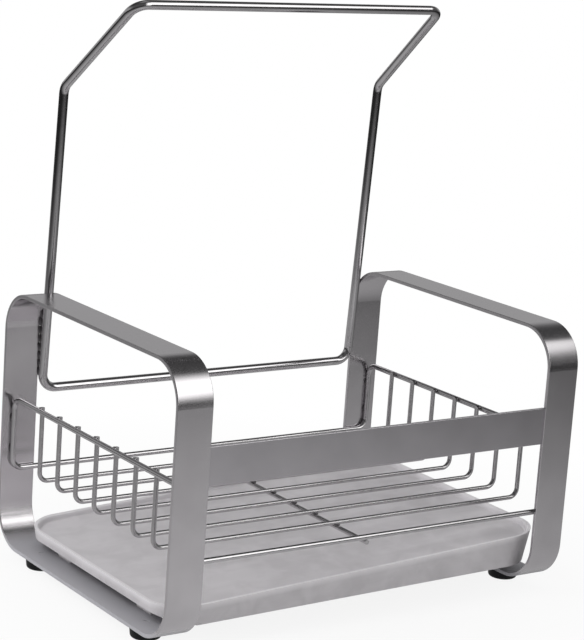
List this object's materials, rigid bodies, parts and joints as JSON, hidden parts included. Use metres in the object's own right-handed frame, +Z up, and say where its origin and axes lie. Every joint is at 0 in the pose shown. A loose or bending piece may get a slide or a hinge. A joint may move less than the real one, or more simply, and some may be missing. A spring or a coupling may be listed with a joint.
{
  "type": "sink caddy",
  "caption": "Countertop sink caddy: bent flat-bar hoops at each end, open wire basket, upright cloth hanger loop and a slide-out drip tray on rubber feet.",
  "frame": {"origin": "on the surface it stands on, below the middle of the two hoops", "axes": "+X to the right along the caddy, the front with the flat rail faces -Y, +Z up"},
  "size_m": [0.25, 0.18, 0.3085],
  "materials": {
    "brushed_flat_bar": "brushed along the strip, satin",
    "polished_wire": "polished round wire",
    "tray_plastic": "semi-matt moulded, light grey-white",
    "foot_rubber": "smooth moulded, near black",
    "screw_steel": "plain machined"
  },
  "bodies": {
    "frame": {"left_hoop": "brushed_flat_bar", "right_hoop": "brushed_flat_bar", "front_rail": "brushed_flat_bar", "cloth_hanger": "polished_wire", "basket_rim": "polished_wire", "basket_wire_1": "polished_wire", "basket_wire_2": "polished_wire", "basket_wire_3": "polished_wire", "basket_wire_4": "polished_wire", "basket_wire_5": "polished_wire", "basket_wire_6": "polished_wire", "basket_wire_7": "polished_wire", "basket_cross_wire": "polished_wire", "foot_front_left": "foot_rubber", "foot_rear_left": "foot_rubber", "foot_front_right": "foot_rubber", "foot_rear_right": "foot_rubber", "foot_screw_front_left": "screw_steel", "foot_screw_rear_left": "screw_steel", "foot_screw_front_right": "screw_steel", "foot_screw_rear_right": "screw_steel"},
    "tray": {"drip_tray": "tray_plastic"}
  },
  "joints": [
    {"name": "tray_slide", "type": "slide", "parent": "frame", "child": "tray", "axis": [-1, 0, 0], "range_m": [0, 0.26]}
  ]
}
